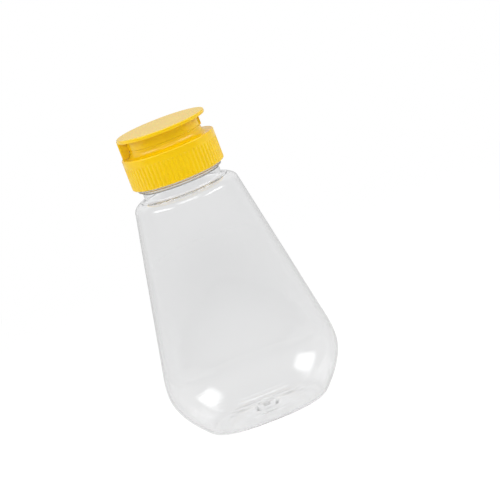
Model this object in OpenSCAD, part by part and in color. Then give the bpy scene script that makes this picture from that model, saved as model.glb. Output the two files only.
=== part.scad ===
// Dispensing sauce bottle with a screw cap and a flip lid.
// Millimetres. Z is up, the origin is the middle of the bottle's foot, the hinge is at -X.

/* [Bottle body] */
// Width of the body at its widest level, along X
body_w = 72; // [60:0.2:90]
// Depth of the body at its widest level, along Y
body_d = 52; // [44:0.5:60]
// Height of the widest level above the table
belly_z = 21; // [17:0.5:26]
// Width of the ring that the bottle stands on, along X
foot_w = 45.6; // [40:0.5:54]
// Width of the flat land on that ring
foot_land = 1.8; // [1:0.1:3]
// Width at the top of the rounded heel
heel_w = 54.2; // [50:0.2:60]
// Height of the rounded heel
heel_h = 2.8; // [2:0.1:5]
// Width of the body where the straight sides end under the shoulder
shoulder_w = 43.4; // [40:0.2:50]
// Height of the shoulder's flat top above the table
shoulder_z = 98.1; // [90:0.2:120]
// Height of the rounded edge between the sides and the shoulder
shoulder_drop = 3.3; // [2:0.1:5]
// Squareness of the belly's outline, where 2 is an ellipse
belly_square = 2.5; // [2:0.05:3.2]
// Height of the dome pressed up into the foot
push_up = 2.2; // [1:0.1:4]
// Diameter of the round gate mark under the foot
gate_d = 9.5; // [6:0.1:14]
// Thickness of the blown wall
wall_t = 0.8; // [0.6:0.05:1.2]
// Number of points round each level of the body
body_sides = 44; // [32:4:64]

/* [Bottle neck] */
// Outer diameter of the neck
neck_d = 32.2; // [31:0.1:33]
// Thickness of the neck's wall
neck_t = 1.7; // [1.2:0.1:2.2]
// Height of the bare neck between the shoulder and the bead
neck_gap = 3.5; // [3:0.1:6]
// Outer diameter of the bead under the cap
bead_d = 34.9; // [34:0.1:36]
// Height of the bead with its sloped underside
bead_h = 1.7; // [1.2:0.1:2.5]
// Height of the finish from the bead's top to the lip
finish_h = 11; // [9:0.1:14]
// Radius of the blend between the neck and the shoulder
neck_fillet = 0.8; // [0.5:0.1:1.2]

/* [Cap] */
// Outer diameter of the cap's skirt
skirt_d = 38.5; // [38:0.1:42]
// Thickness of the skirt between the ribs
skirt_t = 1.15; // [0.9:0.05:1.4]
// Thickness of the cap's deck
deck_t = 1.4; // [1:0.1:2]
// Radius of the rounded outer edge of the deck
deck_round = 0.5; // [0.3:0.1:1.2]
// Number of grip ribs round the skirt
rib_n = 66; // [48:1:84]
// Depth of the grooves between the grip ribs
rib_depth = 0.3; // [0.15:0.05:0.4]
// Height of the smooth band above the ribs
band_h = 3; // [2:0.1:4]
// Outer diameter of the collar and of the lid's wall above it
collar_d = 30; // [28:0.1:31]
// Thickness of the collar's wall
collar_t = 1.4; // [1:0.1:1.8]
// Height of the collar above the deck
collar_h = 3; // [2.6:0.1:6]
// Radius of the hollow blend between the collar and the deck
collar_fillet = 2.3; // [1:0.1:2.6]
// Diameter of the dispensing hole
hole_d = 15; // [13:0.1:16]
// Radial clearance of parts that slide past each other
slide_gap = 0.05; // [0.03:0.01:0.1]
// Gap between the skirt's lower edge and the bead
skirt_gap = 0.4; // [0.3:0.1:1]

/* [Flip lid] */
// Diameter of the lid's disc
disc_d = 36.6; // [35:0.1:38]
// Thickness of the lid's disc
disc_t = 1.5; // [1.2:0.1:2]
// Radius of the rounded edges of the disc
disc_round = 0.4; // [0.2:0.05:0.6]
// Height of the lid's wall under the disc
lid_wall_h = 3.9; // [3:0.1:6]
// Gap of the seam between the lid and the cap
seam_gap = 0.1; // [0.05:0.05:0.2]
// Depth that the lid's plug reaches into the dispensing hole
plug_depth = 0.6; // [0.4:0.1:1]
// How much the plug's radius narrows towards its end, which lets it swing out of the hole
plug_taper = 0.2; // [0.15:0.05:0.3]
// Thickness of the plug's wall
plug_t = 1; // [0.8:0.1:1.4]
// Outer diameter of the ring that holds the valve shut
post_d = 6; // [5:0.1:7]

/* [Hinge] */
// Width of the hinge block, along Y
hinge_w = 4; // [3:0.1:10]
// How far the block's outer face stands out from the disc's rim
hinge_out = 0.2; // [0.1:0.05:0.4]
// Height of the hinge's seat above the deck
seat_h = 0.15; // [0.1:0.05:0.3]
// Thickness of the bending film
film_t = 0.4; // [0.3:0.05:0.5]
// Height of the film between the seat and the block
film_h = 0.4; // [0.3:0.05:0.6]
// Clearance between the block and the collar behind it
block_gap = 0.15; // [0.1:0.05:0.3]

/* [Inside the cap] */
// Thickness of the seal ring on the lip
seal_t = 0.8; // [0.5:0.1:1.2]
// Outer diameter of the valve's flange
valve_d = 19.6; // [18:0.1:20]
// Thickness of the valve's flange
valve_flange = 1.2; // [0.8:0.1:1.6]
// Diameter of the valve's dished head
head_d = 10.4; // [8:0.1:11]
// Thickness of the valve's rubber
rubber_t = 0.5; // [0.4:0.05:0.7]
// Width of the cross cut in the valve's head
slit_w = 0.1; // [0.05:0.05:0.2]
// Length of the cross cut in the valve's head
slit_l = 5; // [3:0.1:7]
// Height of the retaining ring
retainer_h = 3; // [2:0.1:3.4]
// Thickness of the retaining ring and of its socket
socket_t = 1.2; // [0.9:0.1:1.5]

/* [Hidden] */
$fn = 96;
eps = 0.5; // how far solids of one piece run into each other

bead_z = shoulder_z + neck_gap;
bead_top = bead_z + bead_h;
lip_z = bead_top + finish_h;
deck_low = lip_z + seal_t;
deck_z = deck_low + deck_t;
skirt_z = bead_top + skirt_gap;
skirt_h = deck_z - skirt_z;
seam_z = deck_z + collar_h;
plate_low = seam_z - deck_t;
disc_low = seam_z + seam_gap + lid_wall_h;
top_z = disc_low + disc_t;
skirt_root = skirt_d / 2 - rib_depth;
hinge_face = disc_d / 2 + hinge_out;
// A smaller disc brings the film over the collar's blend, so its seat rises by as much as the blend does there.
blend_reach = max(collar_d / 2 + collar_fillet - (hinge_face - film_t), 0);
blend_rise = collar_fillet - sqrt(pow(collar_fillet, 2) - pow(min(blend_reach, collar_fillet), 2));
film_z = deck_z + seat_h + blend_rise;
// The hinge axis is along Y, through the level of the film's middle and just outside the block's face:
// [-hinge_face - 2 * slide_gap, film_z + film_h / 2].
valve_low = plate_low - valve_flange;
socket_r = valve_d / 2 + slide_gap;

// Outline of half the body's widest section as width and height, from the foot up to the shoulder.
// Each stretch is a curve with four control points, and the side between the round ends is straight.
belly_rise = 0.6 * belly_z; // from the widest level up to the straight side
belly_lean = 1.9; // how much narrower each side is by then
belly_pull = 4.7; // reach of the curve's handles above the widest level
flank_in = 6.2; // handle below the widest level
flank_out = [5.1, 5.6]; // handle above the heel, outwards and up
shoulder_pull = 0.6; // handle at the side, as a share of the edge's height
shoulder_push = 0.3; // handle at the neck, as a share of the edge's width
belly_top = [body_w / 2 - belly_lean, belly_z + belly_rise];
side_top = [shoulder_w / 2, shoulder_z - shoulder_drop];
side_dir = (side_top - belly_top) / norm(side_top - belly_top);
foot_edge = [foot_w / 2, 0];
heel_edge = [heel_w / 2, heel_h];
belly_edge = [body_w / 2, belly_z];
heel_mid = [(foot_w + heel_w) / 4, 0];
heel_curve = [foot_edge, heel_mid, heel_edge - heel_h / 4 * flank_out / norm(flank_out), heel_edge];
flank_curve = [heel_edge, heel_edge + flank_out, belly_edge - [0, flank_in], belly_edge];
belly_curve = [belly_edge, belly_edge + [0, belly_pull], belly_top - belly_pull * side_dir, belly_top];
shoulder_rim = 0.3; // width of the flat between the edge and the neck's blend
shoulder_in = [neck_d / 2 + neck_fillet + shoulder_rim, shoulder_z];
shoulder_curve = [
    side_top,
    side_top + shoulder_pull * shoulder_drop * side_dir,
    shoulder_in + [shoulder_push * (side_top[0] - shoulder_in[0]), 0],
    shoulder_in
];

function curve_at(c, t) =
    pow(1 - t, 3) * c[0] + 3 * pow(1 - t, 2) * t * c[1] + 3 * (1 - t) * pow(t, 2) * c[2] + pow(t, 3) * c[3];
function along(c, steps) = [for (i = [1:steps]) curve_at(c, i / steps)];
function line_at(a, b, steps) = [for (i = [1:steps]) a + (b - a) * i / steps];
function smooth(t) = t <= 0 ? 0 : t >= 1 ? 1 : t * t * (3 - 2 * t);

// Levels of the dome under the foot, as shares of its width
dome_levels = [0.12, 0.4, 0.65, 0.85, 1];
dome_r = foot_w / 2 - foot_land;
function dome_z(share) = push_up * (1 + cos(180 * share)) / 2;
gate_h = 0.3; // depth of the gate ring under the dome

outline = concat(
    [for (share = dome_levels) [share * dome_r, dome_z(share)]],
    [foot_edge],
    along(heel_curve, 4),
    along(flank_curve, 6),
    along(belly_curve, 4),
    line_at(belly_top, side_top, 6),
    along(shoulder_curve, 4)
);

// The same outline moved inwards by the wall's thickness, square to itself
function turn_in(d) = [-d[1], d[0]] / norm(d);
inner_outline = [
    for (i = [0:len(outline) - 1])
        outline[i] + wall_t * turn_in(outline[min(i + 1, len(outline) - 1)] - outline[max(i - 1, 0)])
];

// The body's sections change from a squarish oval at the belly to a circle at the shoulder
function roundness(z) = smooth((z - belly_z) / (shoulder_z - belly_z));
function depth_share(z) = body_d / body_w + (1 - body_d / body_w) * roundness(z);
function squareness(z) = belly_square + (2 - belly_square) * roundness(z);
function power(v, p) = sign(v) * pow(abs(v), p);
function section(a, b, z, n) = [
    for (i = [0:body_sides - 1])
        let (q = 360 * i / body_sides)
        [a * power(cos(q), 2 / n), b * power(sin(q), 2 / n), z]
];

// A closed solid over the given outline, with a middle point under its first level
module loft(rows, inset) {
    last = len(rows) - 1;
    n = body_sides;
    points = concat(
        [
            for (r = rows)
                let (a = r[0], z = r[1], share = depth_share(z))
                each section(a, a * share - inset * (1 - share), z, squareness(z))
        ],
        [[0, 0, rows[0][1]]]
    );
    sides = [
        for (k = [0:last - 1], i = [0:n - 1])
            let (j = (i + 1) % n, a = k * n + i, b = k * n + j, c = a + n, d = b + n)
            each [[a, c, b], [b, c, d]]
    ];
    floor_fan = [for (i = [0:n - 1]) [(last + 1) * n, i, (i + 1) % n]];
    polyhedron(points, concat(sides, floor_fan, [[for (i = [n - 1:-1:0]) last * n + i]]), convexity = 6);
}

module ring(inner_r, outer_r, low, high) {
    translate([inner_r, low]) square([outer_r - inner_r, high - low]);
}

// Half section of the neck, with a blend at its foot, the bead and a rounded lip
module neck_section() {
    neck_r = neck_d / 2;
    foot_r = neck_r + neck_fillet;
    foot_z = shoulder_z + slide_gap;
    lip_r = neck_t / 3;
    difference() {
        ring(0, foot_r, shoulder_z - wall_t / 2, foot_z + neck_fillet);
        translate([foot_r, foot_z + neck_fillet]) circle(neck_fillet);
    }
    ring(0, neck_r, foot_z, lip_z - lip_r);
    ring(0, neck_r - lip_r, lip_z - 2 * lip_r, lip_z);
    translate([neck_r - lip_r, lip_z - lip_r]) circle(lip_r);
    polygon([
        [neck_r - eps, bead_z], [neck_r, bead_z],
        [bead_d / 2, bead_z + bead_h / 2], [bead_d / 2, bead_top],
        [neck_r - eps, bead_top]
    ]);
}

// Low ring and nub of the moulding gate, rooted in the middle of the dome under the foot
module gate_mark() {
    nub_r = gate_d / 10;
    root_z = push_up + wall_t / 4;
    ring_low = dome_z(gate_d / 2 / (dome_r * body_d / body_w)) - gate_h;
    ring(gate_d / 2 - gate_h, gate_d / 2, ring_low, root_z);
    ring(0, nub_r, push_up - 2 * gate_h, root_z);
}

module bottle() {
    color([0.9, 0.92, 0.94, 0.4])
    difference() {
        union() {
            loft(outline, 0);
            rotate_extrude(convexity = 6) neck_section();
            rotate_extrude(convexity = 4) gate_mark();
        }
        loft(inner_outline, wall_t);
        translate([0, 0, shoulder_z - 2 * shoulder_drop])
            cylinder(r = neck_d / 2 - neck_t, h = lip_z - shoulder_z + 3 * shoulder_drop);
    }
}

// Wavy outline of the grip ribs, whose roots dip a little into the skirt
rib_steps = 6;
rib_dip = 0.1;
rib_rise = 0.85; // height of a rib as a share of the groove's depth
rib_outline = [
    for (i = [0:rib_n * rib_steps - 1])
        let (q = 360 * i / (rib_n * rib_steps), wave = (1 + cos(q * rib_n)) / 2)
        (skirt_root - rib_dip + (rib_rise * rib_depth + rib_dip) * sqrt(wave)) * [cos(q), sin(q)]
];

module cap_section() {
    collar_r = collar_d / 2;
    skirt_r = skirt_d / 2;
    fillet_z = deck_z + collar_fillet;
    // skirt, with its smooth band and the rounded edge of the deck
    ring(skirt_root - skirt_t, skirt_root, skirt_z, deck_z - deck_round);
    ring(skirt_root - skirt_t, skirt_r, deck_z - band_h, deck_z - deck_round);
    ring(collar_r - collar_t, skirt_r - deck_round, deck_low, deck_z);
    translate([skirt_r - deck_round, deck_z - deck_round]) circle(deck_round);
    // collar with its hollow blend, and the plate round the dispensing hole
    ring(collar_r - collar_t, collar_r, deck_low, seam_z);
    difference() {
        ring(collar_r - eps, collar_r + collar_fillet, deck_z - eps, fillet_z);
        translate([collar_r + collar_fillet, fillet_z]) circle(collar_fillet);
    }
    ring(hole_d / 2, collar_r, plate_low, seam_z);
    // socket that holds the valve and its ring
    ring(socket_r, socket_r + socket_t, valve_low - retainer_h, plate_low + eps);
}

// A box of the hinge, from the block's outer face in to the given radius
module hinge_box(inner_r, low, high) {
    translate([-hinge_face, -hinge_w / 2, low]) cube([hinge_face - inner_r, hinge_w, high - low]);
}

module cap_base() {
    color([0.93, 0.78, 0.2]) {
        rotate_extrude(convexity = 8) cap_section();
        translate([0, 0, skirt_z + slide_gap])
        difference() {
            linear_extrude(skirt_h - band_h + eps) polygon(rib_outline);
            translate([0, 0, -1]) cylinder(r = skirt_root - skirt_t / 2, h = skirt_h + 2);
        }
        hinge_box(collar_d / 2 + collar_fillet / 2, deck_z - eps, film_z);
    }
}

module lid_section() {
    disc_r = disc_d / 2;
    wall_r = collar_d / 2;
    plug_r = hole_d / 2 - slide_gap;
    post_r = post_d / 2;
    ring(0, disc_r - disc_round, disc_low, top_z);
    ring(0, disc_r, disc_low + disc_round, top_z - disc_round);
    translate([disc_r - disc_round, disc_low + disc_round]) circle(disc_round);
    translate([disc_r - disc_round, top_z - disc_round]) circle(disc_round);
    ring(wall_r - collar_t, wall_r, seam_z + seam_gap, disc_low + eps);
    ring(plug_r - plug_t, plug_r, seam_z, disc_low + eps);
    polygon([
        [plug_r - plug_t, seam_z - plug_depth], [plug_r - plug_taper, seam_z - plug_depth],
        [plug_r, seam_z], [plug_r, seam_z + eps], [plug_r - plug_t, seam_z + eps]
    ]);
    ring(post_r - plug_t, post_r, seam_z - plug_depth, disc_low + eps);
}

// Small pad for the thumb on the lid's wall, opposite the hinge
pad_w = 6;
pad_out = 0.4;
module thumb_pad() {
    translate([collar_d / 2 - collar_t / 2, -pad_w / 2, seam_z + seam_gap])
        cube([collar_t / 2 + pad_out, pad_w, lid_wall_h + disc_t / 2]);
}

// Space that the hinge block leaves free round the collar and its hollow blend
module collar_room() {
    fillet_r = collar_d / 2 + collar_fillet;
    fillet_z = deck_z + collar_fillet;
    ring(0, collar_d / 2 + block_gap, deck_z, seam_z + seam_gap);
    difference() {
        ring(0, fillet_r, deck_z, fillet_z);
        translate([fillet_r, fillet_z]) circle(collar_fillet - block_gap);
    }
}

// Block that comes down from the disc, outside the collar, to the film on the deck
module hinge_block() {
    difference() {
        hinge_box(collar_d / 2 - collar_t / 2, film_z + film_h, disc_low + disc_t / 2);
        rotate_extrude(convexity = 4) collar_room();
    }
}

module flip_lid() {
    color([0.96, 0.83, 0.42]) {
        rotate_extrude(convexity = 8) lid_section();
        hinge_block();
        thumb_pad();
    }
}

module hinge_film() {
    color([0.93, 0.78, 0.2])
    hinge_box(hinge_face - film_t, film_z, film_z + film_h);
}

// Valve of soft rubber: a flange, a thin sleeve and a dished head with a cross cut
flange_w = 2.6; // width of the flange
dish = 0.6; // depth of the dish, as a share of the rubber's thickness
module silicone_valve() {
    head_r = head_d / 2;
    head_z = seam_z - plug_depth - 2 * slide_gap;
    flange_in = valve_d / 2 - flange_w;
    color([0.85, 0.86, 0.86])
    difference() {
        rotate_extrude(convexity = 6) {
            ring(flange_in, valve_d / 2, valve_low, plate_low);
            ring(head_r - rubber_t, flange_in + eps, valve_low, valve_low + rubber_t);
            ring(head_r - rubber_t, head_r, valve_low, head_z);
            ring(0, head_r - rubber_t + slide_gap, head_z - (1 + dish) * rubber_t, head_z - dish * rubber_t);
        }
        for (turn = [0, 90])
            rotate([0, 0, turn])
                translate([-slit_l / 2, -slit_w / 2, valve_low - 1])
                    cube([slit_l, slit_w, head_z - valve_low + 2]);
    }
}

// Ring pressed into the socket under the valve, with a lead-in inside
module valve_retainer() {
    outer_r = socket_r;
    inner_r = socket_r - 2 * socket_t;
    low = valve_low - retainer_h;
    color([0.93, 0.93, 0.9])
    rotate_extrude(convexity = 4)
        polygon([
            [inner_r + socket_t / 2, low], [outer_r, low], [outer_r, valve_low],
            [inner_r, valve_low], [inner_r, low + retainer_h / 2]
        ]);
}

// Flat ring between the bottle's lip and the deck
seal_room = 0.2; // clearance between the ring and the skirt
module seal_ring() {
    color([0.96, 0.96, 0.94])
    rotate_extrude(convexity = 4)
        ring(collar_d / 2 - collar_t + slide_gap, skirt_root - skirt_t - seal_room, lip_z + slide_gap, deck_low);
}

bottle();
cap_base();
flip_lid();
hinge_film();
silicone_valve();
valve_retainer();
seal_ring();
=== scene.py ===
"""Dispensing sauce bottle with a screw cap and a flip lid: looks, light and camera round the solids."""

import math

import bmesh
import bpy
from mathutils import Matrix, Vector


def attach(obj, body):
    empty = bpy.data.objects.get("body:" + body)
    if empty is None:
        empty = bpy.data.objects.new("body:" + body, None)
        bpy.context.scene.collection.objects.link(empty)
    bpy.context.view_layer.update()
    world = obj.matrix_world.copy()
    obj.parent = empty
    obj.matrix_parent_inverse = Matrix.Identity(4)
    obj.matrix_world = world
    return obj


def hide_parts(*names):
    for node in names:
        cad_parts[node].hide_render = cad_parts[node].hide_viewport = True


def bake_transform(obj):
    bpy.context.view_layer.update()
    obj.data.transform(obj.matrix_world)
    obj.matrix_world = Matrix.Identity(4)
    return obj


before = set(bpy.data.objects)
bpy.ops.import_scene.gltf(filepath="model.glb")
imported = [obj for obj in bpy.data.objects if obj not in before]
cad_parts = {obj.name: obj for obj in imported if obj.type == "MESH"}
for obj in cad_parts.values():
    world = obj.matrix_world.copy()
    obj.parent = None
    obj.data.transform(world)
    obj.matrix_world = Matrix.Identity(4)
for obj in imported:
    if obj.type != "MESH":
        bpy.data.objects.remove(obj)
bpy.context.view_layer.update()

MM = 0.001
TURN = 2 * math.pi

# Driving sizes in millimetres, the same as the solids'
BODY_W, BODY_D, BELLY_Z = 72.0, 52.0, 21.0
FOOT_W, FOOT_LAND, HEEL_W, HEEL_H = 45.6, 1.8, 54.2, 2.8
SHOULDER_W, SHOULDER_Z, SHOULDER_DROP = 43.4, 98.1, 3.3
BELLY_SQUARE, PUSH_UP, WALL = 2.5, 2.2, 0.8
BELLY_LEAN, BELLY_PULL, FLANK_IN, FLANK_OUT = 1.9, 4.7, 6.2, (5.1, 5.6)
SHOULDER_PULL, SHOULDER_PUSH, SHOULDER_RIM = 0.6, 0.3, 0.3
NECK_R, NECK_T, NECK_GAP, NECK_FILLET = 16.1, 1.7, 3.5, 0.8
BEAD_R, BEAD_H, FINISH_H = 17.45, 1.7, 11.0
GATE_R, GATE_H = 4.75, 0.3
SKIRT_R, SKIRT_T, SKIRT_GAP = 19.25, 1.15, 0.4
DECK_T, DECK_ROUND, BAND_H = 1.4, 0.5, 3.0
RIBS, RIB_DEPTH = 66, 0.3
COLLAR_R, COLLAR_T, COLLAR_H, COLLAR_FILLET = 15.0, 1.4, 3.0, 2.3
HOLE_R, SLIDE = 7.5, 0.05
DISC_R, DISC_T, DISC_ROUND = 18.3, 1.5, 0.4
LID_WALL_H, SEAM_GAP, PLUG_DEPTH, PLUG_TAPER, PLUG_T, POST_R = 3.9, 0.1, 0.6, 0.2, 1.0, 3.0
HINGE_W, HINGE_OUT, SEAT_H, FILM_T, FILM_H, BLOCK_GAP = 4.0, 0.2, 0.15, 0.4, 0.4, 0.15
PAD_W, PAD_OUT = 6.0, 0.4
SEAL_T, VALVE_R, VALVE_FLANGE, RETAINER_H, SOCKET_T = 0.8, 9.8, 1.2, 3.0, 1.2
THREAD_LEAD = 4.23

# Sizes of the visible shape alone
SEAM_ROUND, BLOCK_ROUND, RIB_SHARE = 0.12, 0.6, 0.75
THREAD_TURNS, THREAD_CREST, THREAD_START, THREAD_STOP = 1.5, 1.2, 2.2, 1.2

# Light that the floor shows by itself near the bottle, on top of what the lamps give it
FLOOR_GLOW = 0.08
# How much dimmer mirror rays find the floor, and what the room gives to the rest
FLOOR_DIM, AMBIENT, ROOM_BACK, ROOM_ABOVE = 0.25, 0.70, 0.64, 0.9

BEAD_Z = SHOULDER_Z + NECK_GAP
BEAD_TOP = BEAD_Z + BEAD_H
LIP_Z = BEAD_TOP + FINISH_H
DECK_LOW = LIP_Z + SEAL_T
DECK_Z = DECK_LOW + DECK_T
SKIRT_Z = BEAD_TOP + SKIRT_GAP
SEAM_Z = DECK_Z + COLLAR_H
PLATE_LOW = SEAM_Z - DECK_T
LID_LOW = SEAM_Z + 0.2 * SEAM_GAP
DISC_LOW = LID_LOW + LID_WALL_H
TOP_Z = DISC_LOW + DISC_T
FILM_Z = DECK_Z + SEAT_H
HINGE_FACE = DISC_R + HINGE_OUT
VALVE_LOW = PLATE_LOW - VALVE_FLANGE
SOCKET_R = VALVE_R + SLIDE


def smooth(t):
    t = min(max(t, 0.0), 1.0)
    return t * t * (3 - 2 * t)


def arc(cx, cz, r, start, end, steps):
    """Points of a round stretch of a profile, angles in degrees."""
    angles = [math.radians(start + (end - start) * i / steps) for i in range(steps + 1)]
    return [(cx + r * math.cos(a), cz + r * math.sin(a)) for a in angles]


def curve(points, steps):
    """Points along a curve with four control points, without the first."""
    out = []
    for i in range(1, steps + 1):
        t = i / steps
        weights = ((1 - t) ** 3, 3 * (1 - t) ** 2 * t, 3 * (1 - t) * t ** 2, t ** 3)
        out.append(tuple(sum(w * p[k] for w, p in zip(weights, points)) for k in (0, 1)))
    return out


def line(a, b, steps):
    return [tuple(a[k] + (b[k] - a[k]) * i / steps for k in (0, 1)) for i in range(1, steps + 1)]


def add_object(name, bm, smooth_shade=True):
    mesh = bpy.data.meshes.new(name)
    bm.to_mesh(mesh)
    bm.free()
    if smooth_shade:
        mesh.shade_smooth()
    obj = bpy.data.objects.new(name, mesh)
    bpy.context.scene.collection.objects.link(obj)
    return obj


def join_rings(bm, pairs):
    """Four-sided faces between each two rings of as many points."""
    for low, high in pairs:
        for i in range(len(low)):
            j = (i + 1) % len(low)
            bm.faces.new((low[i], low[j], high[j], high[i]))


def skin(name, outlines):
    """A closed surface over outlines in millimetres, with flat ends."""
    bm = bmesh.new()
    rings = [[bm.verts.new(Vector(point) * MM) for point in outline] for outline in outlines]
    join_rings(bm, zip(rings, rings[1:]))
    bm.faces.new(rings[0])
    bm.faces.new(list(reversed(rings[-1])))
    bmesh.ops.recalc_face_normals(bm, faces=bm.faces)
    return add_object(name, bm, smooth_shade=False)


def sweep(name, rows, count, place, closed):
    """A surface over rows of count points each; place(row, angle) gives a point in millimetres.

    A closed sweep joins its last row to its first, and an open one ends in a point at each end."""
    bm = bmesh.new()
    rings = [[bm.verts.new(Vector(place(row, TURN * i / count)) * MM) for i in range(count)] for row in rows]
    join_rings(bm, zip(rings, rings[1:] + rings[:1] if closed else rings[1:]))
    if not closed:
        for ring, flip in ((rings[0], True), (rings[-1], False)):
            middle = bm.verts.new(sum((v.co for v in ring), Vector()) / count)
            for i in range(count):
                j = (i + 1) % count
                corners = (ring[j], ring[i], middle) if flip else (ring[i], ring[j], middle)
                bm.faces.new(corners)
    bmesh.ops.recalc_face_normals(bm, faces=bm.faces)
    return add_object(name, bm)


def held(rows):
    """The rows with two more near the ends of each long straight, which keep its shading straight."""
    near = 0.05
    out = [tuple(rows[0])]
    for a, b in zip(rows, rows[1:]):
        length = math.dist(a[:2], b[:2])
        if length > 6 * near:
            out += [tuple(p + (q - p) * t for p, q in zip(a, b)) for t in (near / length, 1 - near / length)]
        out.append(tuple(b))
    return out


def tagged(points, *marks):
    """Rows of a profile: its points, each with the same marks after it."""
    return [(r, z, *marks) for r, z in points]


def circle_place(row, angle):
    return row[0] * math.cos(angle), row[0] * math.sin(angle), row[1]


# Clear bottle

def roundness(z):
    return smooth((z - BELLY_Z) / (SHOULDER_Z - BELLY_Z))


def depth_share(z):
    return BODY_D / BODY_W + (1 - BODY_D / BODY_W) * roundness(z)


def power(value, exponent):
    return math.copysign(abs(value) ** exponent, value)


def body_outline(fine):
    """Half width and height along the widest section, from the foot's middle to the shoulder's flat."""
    belly = (BODY_W / 2, BELLY_Z)
    belly_top = (BODY_W / 2 - BELLY_LEAN, BELLY_Z * 1.6)
    side_top = (SHOULDER_W / 2, SHOULDER_Z - SHOULDER_DROP)
    length = math.dist(side_top, belly_top)
    side = tuple((side_top[k] - belly_top[k]) / length for k in (0, 1))
    foot = (FOOT_W / 2, 0)
    heel = (HEEL_W / 2, HEEL_H)
    out_length = math.hypot(*FLANK_OUT)
    heel_low = tuple(heel[k] - HEEL_H / 4 * FLANK_OUT[k] / out_length for k in (0, 1))
    dome_r = FOOT_W / 2 - FOOT_LAND
    points = []
    for i in range(1, 6 * fine + 1):
        share = i / (6 * fine)
        points.append((share * dome_r, PUSH_UP * (1 + math.cos(math.pi * share)) / 2))
    points += line((dome_r, 0), foot, 2)
    points += curve((foot, ((FOOT_W + HEEL_W) / 4, 0), heel_low, heel), 5 * fine)
    flank = (heel[0] + FLANK_OUT[0], heel[1] + FLANK_OUT[1])
    points += curve((heel, flank, (belly[0], belly[1] - FLANK_IN), belly), 8 * fine)
    pull = tuple(belly_top[k] - BELLY_PULL * side[k] for k in (0, 1))
    points += curve((belly, (belly[0], belly[1] + BELLY_PULL), pull, belly_top), 5 * fine)
    points += line(belly_top, side_top, 20 * fine)
    lean = tuple(side_top[k] + SHOULDER_PULL * SHOULDER_DROP * side[k] for k in (0, 1))
    end = NECK_R + NECK_FILLET + SHOULDER_RIM
    push = end + SHOULDER_PUSH * (side_top[0] - end)
    points += curve((side_top, lean, (push, SHOULDER_Z), (end, SHOULDER_Z)), 8 * fine)
    return points


def inwards(points, distance):
    """The same outline moved inwards, square to itself."""
    out = []
    for i, point in enumerate(points):
        before, after = points[max(i - 1, 0)], points[min(i + 1, len(points) - 1)]
        dx, dz = after[0] - before[0], after[1] - before[1]
        length = math.hypot(dx, dz)
        out.append((max(point[0] - distance * dz / length, 0.05), point[1] + distance * dx / length))
    return out


def thread_height(angle, z, low, high, crest):
    """Height of a right-handed thread's ridge at that angle and level, with its ends tapered."""
    width, flank = 0.95, 0.55
    best = 0.0
    for k in range(-1, 4):
        along = k + angle / TURN
        centre = low + THREAD_LEAD * along
        if along < 0 or along > THREAD_TURNS or centre > high:
            continue
        ends = smooth(min(along, THREAD_TURNS - along) / 0.08)
        best = max(best, ends * smooth((width / 2 + flank - abs(z - centre)) / flank))
    return crest * best


def gate(r):
    """How far the moulding gate's ring and nub stand down from the dome at that radius."""
    ring = smooth(1 - abs(r - GATE_R + 0.3) / 0.8)
    nub = smooth((1.3 - r) / 0.6)
    return GATE_H * (0.4 * ring + 1.0 * nub)


def dome(dome_r, push, steps, marked):
    """Dome under the foot from its middle outwards, as (radius, height) rows."""
    radii = {round(dome_r * i / steps, 3) for i in range(1, steps)}
    if marked:
        radii |= {round(0.15 * i, 3) for i in range(1, 9)}
        radii |= {round(GATE_R - 0.8 + 0.1 * i, 3) for i in range(13)}
    rows = []
    for r in sorted(radii):
        rows.append((r, push * (1 + math.cos(math.pi * r / dome_r)) / 2 - (gate(r) if marked else 0)))
    return rows + [(dome_r, 0)]


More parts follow.
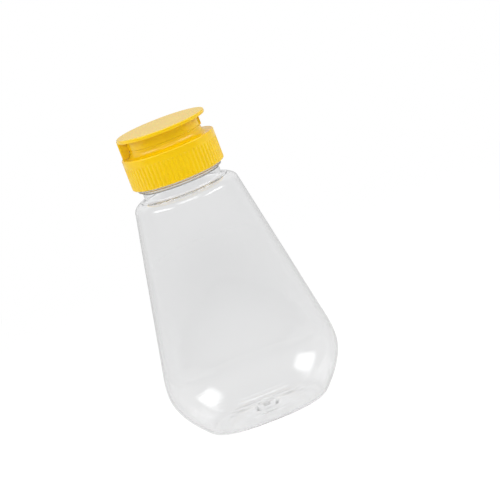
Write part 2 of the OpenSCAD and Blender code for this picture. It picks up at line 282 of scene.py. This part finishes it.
def make_bottle():
    dome_r = FOOT_W / 2 - FOOT_LAND
    outer = [p for p in body_outline(2) if p[0] > dome_r or p[1] > PUSH_UP]
    outer = dome(dome_r, PUSH_UP, 24, True) + outer
    foot_r = NECK_R + NECK_FILLET
    rows = tagged(outer, 0, 0)
    neck = arc(foot_r, SHOULDER_Z + NECK_FILLET, NECK_FILLET, 270, 180, 14)[1:]
    bead_mid = BEAD_Z + BEAD_H / 2
    soft = 0.25
    neck += line((NECK_R, SHOULDER_Z + NECK_FILLET), (NECK_R, BEAD_Z - 0.4), 4)
    neck += curve(((NECK_R, BEAD_Z - 0.4), (NECK_R, BEAD_Z - 0.1), (NECK_R + 0.1, BEAD_Z + 0.05),
                   (NECK_R + 0.35, BEAD_Z + 0.2)), 8)
    neck += line((NECK_R + 0.35, BEAD_Z + 0.2), (BEAD_R - 0.5 * soft, bead_mid - 0.8 * soft), 3)
    neck += arc(BEAD_R - soft, bead_mid, soft, -50, 0, 5)
    neck += arc(BEAD_R - soft, BEAD_TOP - soft, soft, 0, 90, 8)
    neck += line((BEAD_R - soft, BEAD_TOP), (NECK_R + soft, BEAD_TOP), 2)
    neck += arc(NECK_R + soft, BEAD_TOP + soft, soft, 270, 180, 6)
    rows += tagged(neck, 0, 0)
    lip = NECK_T / 3
    rows += tagged(line((NECK_R, BEAD_TOP + soft), (NECK_R, LIP_Z - lip), 52), 0, 1)
    rows += tagged(arc(NECK_R - lip, LIP_Z - lip, lip, 10, 90, 8), 0, 0)
    bore = NECK_R - NECK_T
    rows += tagged(arc(bore + 0.3, LIP_Z - 0.3, 0.3, 90, 180, 6), 0, 0)
    rows += tagged(line((bore, LIP_Z - 0.3), (bore, BEAD_TOP + 1.6), 8), 0, 0)
    inner = inwards(body_outline(2), WALL)
    ceiling = inner[-1]
    thin = NECK_R - WALL
    bulge = BEAD_R - WALL - 0.1
    rows += tagged(curve(
        ((bore, BEAD_TOP + 1.6), (bore, BEAD_TOP + 0.4), (bulge, BEAD_TOP), (bulge, bead_mid)), 10), 0, 0)
    rows += tagged(curve(
        ((bulge, bead_mid), (bulge, bead_mid - 0.5), (thin, BEAD_Z + 0.4), (thin, BEAD_Z - 0.3)), 8), 0, 0)
    rows += tagged(line((thin, BEAD_Z - 0.3), (thin, SHOULDER_Z + NECK_FILLET), 3), 0, 0)
    rows += tagged(arc(foot_r, SHOULDER_Z + NECK_FILLET, NECK_FILLET + WALL, 180, 270, 14)[1:], 0, 0)
    rows += [(ceiling[0], ceiling[1], WALL, 0)]
    floor_rows = [(r, z + WALL) for r, z in dome(dome_r - 0.3, PUSH_UP, 24, False)[:-4]]
    side = [p for p in inner[:-1] if p[0] > floor_rows[-1][0] + 0.4]
    rows += tagged(reversed(side), WALL, 0)
    rows += tagged(reversed(floor_rows), WALL, 0)

    def place(row, angle):
        r, z, inset, threaded = row
        share = depth_share(z)
        n = BELLY_SQUARE + (2 - BELLY_SQUARE) * roundness(z)
        if z < PUSH_UP + WALL + 0.1:
            middle = 1 - smooth((r - GATE_R - 1) / 8)
            share += (1 - share) * middle
            n += (2 - n) * middle
            inset *= 1 - middle
        if threaded:
            r += thread_height(angle, z, BEAD_TOP + THREAD_START, LIP_Z - THREAD_STOP, THREAD_CREST)
        x = r * power(math.cos(angle), 2 / n)
        y = (r * share - inset * (1 - share)) * power(math.sin(angle), 2 / n)
        return x, y, z

    bottle = sweep("bottle_shell", held(rows), 240, place, closed=False)
    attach(bottle, "bottle")
    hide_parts("bottle")
    return bottle


# Yellow cap and lid

def make_cap():
    soft = 0.2
    inner_r = SKIRT_R - RIB_DEPTH - SKIRT_T
    band_low = DECK_Z - BAND_H
    fillet_z = DECK_Z + COLLAR_FILLET
    out = []
    # (radius, height, share of the ribs, thread)
    out += tagged(arc(inner_r + soft, SKIRT_Z + soft, soft, 180, 270, 3), 0, 0)
    out += tagged(arc(SKIRT_R - RIB_DEPTH - soft, SKIRT_Z + soft, soft, 270, 350, 3), 0, 0)
    out += [(SKIRT_R - 0.05, SKIRT_Z + 0.35, 0.2, 0), (SKIRT_R, SKIRT_Z + 0.7, 1, 0)]
    out += tagged(line((SKIRT_R, SKIRT_Z + 0.7), (SKIRT_R, band_low - 0.6), 8), 1, 0)
    out += [(SKIRT_R, band_low - 0.25, 0.85, 0), (SKIRT_R, band_low, 0.3, 0)]
    out += [(SKIRT_R, band_low + 0.15, 0, 0)]
    out += tagged(line((SKIRT_R, band_low + 0.15), (SKIRT_R, DECK_Z - DECK_ROUND), 3), 0, 0)
    out += tagged(arc(SKIRT_R - DECK_ROUND, DECK_Z - DECK_ROUND, DECK_ROUND, 8, 90, 9), 0, 0)
    out += tagged(arc(COLLAR_R + COLLAR_FILLET, fillet_z, COLLAR_FILLET, 270, 180, 16), 0, 0)
    out += tagged(line((COLLAR_R, fillet_z), (COLLAR_R, SEAM_Z - SEAM_ROUND), 2), 0, 0)
    out += tagged(arc(COLLAR_R - SEAM_ROUND, SEAM_Z - SEAM_ROUND, SEAM_ROUND, 20, 90, 3), 0, 0)
    out += [(HOLE_R + 2.2, SEAM_Z, 0, 0), (HOLE_R + 1.8, SEAM_Z, 0, 0)]
    out += tagged(arc(HOLE_R + soft, SEAM_Z - soft, soft, 90, 180, 4), 0, 0)
    out += [(HOLE_R, PLATE_LOW + 0.1, 0, 0), (HOLE_R + 0.1, PLATE_LOW, 0, 0), (SOCKET_R, PLATE_LOW, 0, 0)]
    socket_low = VALVE_LOW - RETAINER_H
    out += [(SOCKET_R, socket_low + 0.1, 0, 0), (SOCKET_R + 0.1, socket_low, 0, 0)]
    out += [(SOCKET_R + SOCKET_T - 0.1, socket_low, 0, 0), (SOCKET_R + SOCKET_T, socket_low + 0.1, 0, 0)]
    out += [(SOCKET_R + SOCKET_T, PLATE_LOW, 0, 0), (COLLAR_R - COLLAR_T, PLATE_LOW, 0, 0)]
    out += [(COLLAR_R - COLLAR_T, DECK_LOW, 0, 0), (inner_r, DECK_LOW, 0, 0)]
    out += tagged(line((inner_r, DECK_LOW - 0.4), (inner_r, SKIRT_Z + soft), 52), 0, 1)
    count = RIBS * 12

    def place(row, angle):
        r, z, ribbed, threaded = row
        if ribbed:
            wave = (1 + math.cos(RIBS * angle)) / 2
            r -= ribbed * RIB_SHARE * RIB_DEPTH * (1 - wave ** 0.6)
        if threaded:
            start = BEAD_TOP + THREAD_START - THREAD_LEAD / 2
            r -= thread_height(angle, z, start, DECK_LOW, THREAD_CREST)
        return r * math.cos(angle), r * math.sin(angle), z

    cap = sweep("cap_shell", held(out), count, place, closed=True)
    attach(cap, "cap")
    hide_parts("cap_base")
    return cap


def make_lid():
    soft = DISC_ROUND
    plug_r = HOLE_R - SLIDE
    plug_end = plug_r - PLUG_TAPER
    plug_low = SEAM_Z - PLUG_DEPTH
    wall_in = COLLAR_R - COLLAR_T
    out = [(0.2, TOP_Z), (DISC_R * 0.5, TOP_Z), (DISC_R - soft - 0.6, TOP_Z)]
    out += arc(DISC_R - soft, TOP_Z - soft, soft, 90, 0, 6)
    out += arc(DISC_R - soft, DISC_LOW + soft, soft, 0, -90, 6)
    out += [(COLLAR_R + 0.35, DISC_LOW)]
    out += arc(COLLAR_R + 0.3, DISC_LOW - 0.3, 0.3, 90, 180, 4)
    out += [(COLLAR_R, LID_LOW + SEAM_ROUND), (COLLAR_R - SEAM_ROUND, LID_LOW)]
    out += [(wall_in + 0.2, LID_LOW), (wall_in, LID_LOW + 0.2)]
    out += [(wall_in, DISC_LOW - 0.3), (wall_in - 0.3, DISC_LOW)]
    out += [(plug_r + 0.3, DISC_LOW), (plug_r, DISC_LOW - 0.3), (plug_r, SEAM_Z),
            (plug_end + 0.05, plug_low + 0.15), (plug_end - 0.15, plug_low)]
    plug_in, post_in = plug_r - PLUG_T, POST_R - PLUG_T
    out += [(plug_in + 0.15, plug_low), (plug_in, plug_low + 0.2)]
    out += [(plug_in, DISC_LOW - 0.3), (plug_in - 0.3, DISC_LOW)]
    out += [(POST_R + 0.3, DISC_LOW), (POST_R, DISC_LOW - 0.3)]
    out += [(POST_R, plug_low + 0.2), (POST_R - 0.2, plug_low)]
    out += [(post_in + 0.2, plug_low), (post_in, plug_low + 0.2), (post_in, DISC_LOW)]
    out += [(0.2, DISC_LOW)]

    lid = sweep("lid_shell", held(out), 288, circle_place, closed=False)
    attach(lid, "lid")
    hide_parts("flip_lid")
    return lid


def soft_box(name, low, high, bevel):
    bm = bmesh.new()
    bmesh.ops.create_cube(bm, size=1)
    size = [(high[k] - low[k]) * MM for k in range(3)]
    middle = [(high[k] + low[k]) / 2 * MM for k in range(3)]
    matrix = Matrix.Translation(middle) @ Matrix.Diagonal((*size, 1))
    bmesh.ops.transform(bm, verts=bm.verts, matrix=matrix)
    bmesh.ops.bevel(bm, geom=bm.edges[:], offset=bevel * MM, segments=4, profile=0.5, affect="EDGES")
    return add_object(name, bm)


def make_block():
    """The hinge block under the lid's disc, hollowed where it stands round the collar."""
    foot, top = FILM_Z + 0.1, DISC_LOW + DISC_T / 2
    fillet_r, fillet_z, hollow = COLLAR_R + COLLAR_FILLET, DECK_Z + COLLAR_FILLET, COLLAR_FILLET - BLOCK_GAP
    levels = [foot + (fillet_z - foot) * i / 8 for i in range(9)] + [SEAM_Z + SEAM_GAP]
    radii = [fillet_r - math.sqrt(max(hollow ** 2 - (fillet_z - z) ** 2, 0)) for z in levels[:9]]
    radii.append(COLLAR_R + BLOCK_GAP)
    half = HINGE_W / 2
    turns = [math.radians(90 * i / 6) for i in range(7)]
    edges = [(half - BLOCK_ROUND * (1 - math.cos(t)), BLOCK_ROUND * (1 - math.sin(t))) for t in turns]
    places = [(-y, back) for y, back in edges]
    places += [((half - BLOCK_ROUND) * (i / 4 - 1), 0) for i in range(1, 8)]
    places += [(y, back) for y, back in reversed(edges)]
    sections = []
    for y, back in places:
        outer = -HINGE_FACE + back
        section = [(outer + 0.1, foot), (outer, foot + 0.1), (outer, top - 0.1), (outer + 0.1, top)]
        section += [(-COLLAR_R + COLLAR_T / 2, top), (-COLLAR_R + COLLAR_T / 2, SEAM_Z + SEAM_GAP + 0.01)]
        section += [(-math.sqrt(r * r - y * y), z) for r, z in zip(reversed(radii), reversed(levels))]
        sections.append([(x, y, z) for x, z in section])
    block = skin("lid_hinge_block", sections)
    block.data.set_sharp_from_angle(angle=math.radians(35))
    for face in block.data.polygons:
        face.use_smooth = True
    return block


def make_hinge():
    half = HINGE_W / 2
    inner = COLLAR_R + COLLAR_FILLET / 2
    seat = soft_box("cap_hinge_seat", (-HINGE_FACE, -half, DECK_Z - 0.5), (-inner, half, FILM_Z), 0.06)
    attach(seat, "cap")
    block = make_block()
    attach(block, "lid")
    pad = soft_box("lid_thumb_pad", (COLLAR_R - COLLAR_T / 2, -PAD_W / 2, LID_LOW),
                   (COLLAR_R + PAD_OUT, PAD_W / 2, DISC_LOW + DISC_T / 2), 0.18)
    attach(pad, "lid")
    # film: a thin strip at the hinge, thinner in its middle
    steps, reach = 16, 0.3
    middle = FILM_Z + FILM_H / 2
    outlines = []
    x = -HINGE_FACE + 0.02
    for i in range(steps + 1):
        swell = math.sin(math.pi * i / steps)
        z = middle + (FILM_H / 2 + reach) * (2 * i / steps - 1)
        thick = FILM_T * (1.4 - 0.6 * swell)
        ring = [(x, -half + 0.1), (x, half - 0.1), (x + thick, half - 0.1), (x + thick, -half + 0.1)]
        outlines.append([(px, py, z) for px, py in ring])
    film = skin("hinge_strip", outlines)
    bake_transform(film)
    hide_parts("hinge_film")
    return seat, block, pad, film


# Materials

def srgb(r, g, b):
    """Linear colour of an 8-bit screen colour."""
    shares = [c / 255 for c in (r, g, b)]
    return tuple(c / 12.92 if c < 0.0405 else ((c + 0.055) / 1.055) ** 2.4 for c in shares) + (1,)


class Tree:
    """A node tree with short ways to add and join nodes."""

    def __init__(self, tree):
        self.tree = tree

    def add(self, kind, **settings):
        node = self.tree.nodes.new(kind)
        for name, value in settings.items():
            setattr(node, name, value)
        return node

    def join(self, a, b):
        self.tree.links.new(a, b)

    def put(self, value, socket):
        """Join the socket to another one, or set its number."""
        if isinstance(value, bpy.types.NodeSocket):
            self.join(value, socket)
        else:
            socket.default_value = value

    def split(self, vector):
        node = self.add("ShaderNodeSeparateXYZ")
        self.join(vector, node.inputs["Vector"])
        return node.outputs

    def reckon(self, operation, *values):
        node = self.add("ShaderNodeMath", operation=operation)
        for value, socket in zip(values, node.inputs):
            self.put(value, socket)
        return node.outputs["Value"]

    def ranged(self, value, start=0.0, end=1.0, low=0.0, high=1.0, kind="SMOOTHSTEP"):
        """The value's stretch from start to end, laid onto low to high."""
        node = self.add("ShaderNodeMapRange", interpolation_type=kind)
        for name, limit in (("From Min", start), ("From Max", end), ("To Min", low), ("To Max", high)):
            self.put(limit, node.inputs[name])
        self.join(value, node.inputs["Value"])
        return node.outputs["Result"]

    def mixed(self, factor, a, b):
        node = self.add("ShaderNodeMixShader")
        for value, socket in zip((factor, a, b), node.inputs):
            self.join(value, socket)
        return node.outputs["Shader"]

    def glow(self, kind, strength):
        """White light of that strength, from a surface or from the world."""
        node = self.add(kind)
        node.inputs["Color"].default_value = (1, 1, 1, 1)
        self.put(strength, node.inputs["Strength"])
        return node.outputs[0]


class Nodes(Tree):
    """A material's node tree."""

    def __init__(self, name):
        self.material = bpy.data.materials.new(name)
        self.material.use_nodes = True
        super().__init__(self.material.node_tree)
        self.shader = self.tree.nodes["Principled BSDF"]
        self.output = self.tree.nodes["Material Output"]

    def coords(self):
        return self.add("ShaderNodeTexCoord").outputs["Object"]

    def noise(self, scale, detail=2.0, source=None, stretch=None):
        node = self.add("ShaderNodeTexNoise")
        node.inputs["Scale"].default_value = scale
        node.inputs["Detail"].default_value = detail
        source = source or self.coords()
        if stretch:
            mapping = self.add("ShaderNodeMapping")
            mapping.inputs["Scale"].default_value = stretch
            self.join(source, mapping.inputs["Vector"])
            source = mapping.outputs["Vector"]
        self.join(source, node.inputs["Vector"])
        return node.outputs["Fac"]

    def ramp(self, factor, stops):
        node = self.add("ShaderNodeValToRGB")
        elements = node.color_ramp.elements
        elements[0].position, elements[0].color = stops[0]
        elements[1].position, elements[1].color = stops[-1]
        for position, color in stops[1:-1]:
            elements.new(position).color = color
        self.join(factor, node.inputs["Fac"])
        return node.outputs["Color"]

    def spread(self, factor, low, high):
        return self.ranged(factor, low=low, high=high, kind="LINEAR")

    def bump(self, height, strength, distance, under=None):
        node = self.add("ShaderNodeBump")
        node.inputs["Strength"].default_value = strength
        node.inputs["Distance"].default_value = distance
        self.join(height, node.inputs["Height"])
        if under:
            self.join(under, node.inputs["Normal"])
        return node.outputs["Normal"]


def yellow_plastic(name, dark, light):
    n = Nodes(name)
    cloud = n.noise(140, 3)
    n.join(n.ramp(cloud, [(0.3, dark), (0.7, light)]), n.shader.inputs["Base Color"])
    grain = n.noise(5200, 2)
    n.join(n.spread(n.noise(600, 3), 0.15, 0.21), n.shader.inputs["Roughness"])
    swell = n.bump(n.noise(90, 2), 0.15, 0.0003)
    n.join(n.bump(grain, 0.12, 0.00003, swell), n.shader.inputs["Normal"])
    n.shader.inputs["Subsurface Weight"].default_value = 0.12
    n.shader.inputs["Subsurface Radius"].default_value = (0.004, 0.002, 0.0005)
    n.shader.inputs["Subsurface Scale"].default_value = 0.4
    n.shader.inputs["IOR"].default_value = 1.49
    return n.material


def clear_plastic(name):
    n = Nodes(name)
    n.shader.inputs["Base Color"].default_value = (0.99, 0.992, 0.995, 1)
    n.shader.inputs["Transmission Weight"].default_value = 1.0
    n.shader.inputs["IOR"].default_value = 1.575
    n.join(n.spread(n.noise(60, 3), 0.01, 0.05), n.shader.inputs["Roughness"])
    waves = n.noise(24, 1, stretch=(1, 1, 0.35))
    n.join(n.bump(waves, 0.05, 0.0006), n.shader.inputs["Normal"])
    # light passes through to the floor, as it does through a thin clear wall
    path = n.add("ShaderNodeLightPath").outputs
    clear = n.add("ShaderNodeBsdfTransparent")
    clear.inputs["Color"].default_value = (0.97, 0.97, 0.97, 1)
    either = n.reckon("MAXIMUM", path["Is Shadow Ray"], path["Is Diffuse Ray"])
    wall = n.mixed(either, n.shader.outputs["BSDF"], clear.outputs["BSDF"])
    n.join(wall, n.output.inputs["Surface"])
    return n.material


def soft_white(name, color, rough, transmission=0.0):
    n = Nodes(name)
    tone = n.ramp(n.noise(220, 3), [(0.3, tuple(0.93 * c for c in color[:3]) + (1,)), (0.7, color)])
    n.join(tone, n.shader.inputs["Base Color"])
    n.join(n.spread(n.noise(900, 2), rough - 0.06, rough + 0.06), n.shader.inputs["Roughness"])
    n.join(n.bump(n.noise(3000, 2), 0.15, 0.00003), n.shader.inputs["Normal"])
    n.shader.inputs["Subsurface Weight"].default_value = 0.3
    n.shader.inputs["Subsurface Radius"].default_value = (0.003, 0.003, 0.003)
    n.shader.inputs["Subsurface Scale"].default_value = 0.4
    n.shader.inputs["Transmission Weight"].default_value = transmission
    return n.material


def dress(obj, material):
    obj.data.materials.clear()
    obj.data.materials.append(material)


# Stage, light and camera

def make_stage():
    """White paper that fades to plain white; it ends in front of the bottle, where the room is darker."""
    bm = bmesh.new()
    side, front, back = 1.6, -0.45, 2.4
    corners = ((-side, front), (side, front), (side, back), (-side, back))
    bm.faces.new([bm.verts.new((x, y, 0)) for x, y in corners])
    floor = add_object("floor", bm, smooth_shade=False)
    n = Nodes("white_floor")
    n.shader.inputs["Base Color"].default_value = (0.9, 0.9, 0.9, 1)
    n.shader.inputs["Roughness"].default_value = 0.9
    n.shader.inputs["Specular IOR Level"].default_value = 0.0
    path = n.add("ShaderNodeLightPath").outputs
    away = n.add("ShaderNodeVectorMath", operation="LENGTH")
    n.join(n.coords(), away.inputs[0])
    lit = n.add("ShaderNodeAddShader")
    n.join(n.shader.outputs["BSDF"], lit.inputs[0])
    n.join(n.glow("ShaderNodeEmission", FLOOR_GLOW), lit.inputs[1])
    fade = n.ranged(away.outputs["Value"], 0.05, 0.4)
    shown = n.mixed(fade, lit.outputs["Shader"], n.glow("ShaderNodeEmission", 1.0))
    seen = n.reckon("MAXIMUM", path["Is Camera Ray"], path["Is Transmission Ray"])
    seen = n.reckon("MAXIMUM", seen, path["Is Glossy Ray"])
    paper = n.mixed(seen, n.shader.outputs["BSDF"], shown)
    # mirror rays find the paper dimmer, and dark in front of the bottle where the room is
    dim = n.ranged(n.split(n.coords())["Y"], -0.42, -0.06, 0.97, FLOOR_DIM)
    # what is seen through the bottle is as dim on every side
    dim = n.ranged(path["Is Transmission Ray"], low=dim, high=FLOOR_DIM, kind="LINEAR")
    share = n.reckon("MULTIPLY", dim, path["Is Glossy Ray"])
    n.join(n.mixed(share, paper, n.glow("ShaderNodeEmission", 0.0)), n.output.inputs["Surface"])
    dress(floor, n.material)


def make_world():
    world = bpy.data.worlds.new("studio")
    bpy.context.scene.world = world
    world.use_nodes = True
    n = Tree(world.node_tree)
    n.tree.nodes.clear()
    path = n.add("ShaderNodeLightPath").outputs
    toward = n.split(n.add("ShaderNodeTexCoord").outputs["Generated"])
    above = n.ranged(toward["Z"], -0.12, 0.16, 0.02, ROOM_ABOVE)
    room = n.ranged(toward["Y"], -0.35, 0.45, above, ROOM_BACK)
    ambient, mirrored, white = (n.glow("ShaderNodeBackground", level) for level in (AMBIENT, room, 1.0))
    unseen = n.mixed(path["Is Glossy Ray"], ambient, mirrored)
    seen = n.reckon("MAXIMUM", path["Is Camera Ray"], path["Is Transmission Ray"])
    n.join(n.mixed(seen, unseen, white), n.add("ShaderNodeOutputWorld").inputs["Surface"])


def area_light(name, azimuth, elevation, distance, width, height, power_w):
    """A soft box that points at the bottle; azimuth 0 is the camera's side, positive to the right."""
    target = Vector((0, 0, 0.07))
    a, e = math.radians(azimuth), math.radians(elevation)
    offset = Vector((math.sin(a) * math.cos(e), -math.cos(a) * math.cos(e), math.sin(e))) * distance
    light = bpy.data.lights.new(name, "AREA")
    light.shape = "RECTANGLE"
    light.size = width
    light.size_y = height
    light.energy = power_w
    light.use_nodes = True
    n = Tree(light.node_tree)
    across = n.split(n.add("ShaderNodeNewGeometry").outputs["Parametric"])
    # full in the middle, and down to nothing at the edges
    soft = []
    for axis in ("X", "Y"):
        off = n.reckon("ABSOLUTE", n.reckon("SUBTRACT", across[axis], 0.5))
        soft.append(n.ranged(off, 0.2, 0.5, 1.3, 0.0))
    n.join(n.reckon("MULTIPLY", *soft), n.tree.nodes["Emission"].inputs["Strength"])
    obj = bpy.data.objects.new(name, light)
    obj.location = target + offset
    obj.rotation_euler = (-offset).to_track_quat("-Z", "Y").to_euler()
    bpy.context.scene.collection.objects.link(obj)


def make_camera():
    distance, height = 0.7607, 0.2214
    yaw, pitch, roll = (math.radians(v) for v in (1.183, 11.641, 20.807))
    data = bpy.data.cameras.new("photo_camera")
    data.sensor_width = 36
    data.lens = 140.05
    camera = bpy.data.objects.new("photo_camera", data)
    turn = Matrix.Rotation(-yaw, 4, "Z") @ Matrix.Rotation(math.pi / 2 - pitch, 4, "X")
    turn = turn @ Matrix.Rotation(-roll, 4, "Z")
    camera.matrix_world = Matrix.Translation((0, -distance, height)) @ turn
    bpy.context.scene.collection.objects.link(camera)
    bpy.context.scene.camera = camera


make_camera()
make_stage()
make_world()
area_light("left_box", -66, 35, 0.9, 1.0, 0.4, 2.7)
area_light("right_box", 66, 35, 0.9, 1.0, 0.4, 2.5)
area_light("back_box", 180, 60, 1.0, 0.8, 0.6, 1.0)
area_light("top_box", 0, 66, 1.0, 0.8, 0.6, 1.9)

cap_yellow = yellow_plastic("cap_yellow", srgb(237, 194, 3), srgb(242, 200, 8))
lid_yellow = yellow_plastic("lid_yellow", srgb(238, 196, 4), srgb(243, 202, 10))
pet = clear_plastic("clear_pet")

dress(make_bottle(), pet)
dress(make_cap(), cap_yellow)
dress(make_lid(), lid_yellow)
hinge_seat, hinge_block, thumb_pad, strip = make_hinge()
dress(hinge_seat, cap_yellow)
dress(hinge_block, lid_yellow)
dress(thumb_pad, lid_yellow)
dress(strip, cap_yellow)
dress(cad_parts["silicone_valve"], soft_white("silicone", (0.8, 0.82, 0.82, 1), 0.45, 0.3))
dress(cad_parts["valve_retainer"], soft_white("white_pp", (0.85, 0.85, 0.83, 1), 0.4))
dress(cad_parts["seal_ring"], soft_white("seal_foam", (0.88, 0.88, 0.86, 1), 0.7))

bpy.context.scene.view_settings.view_transform = "Standard"
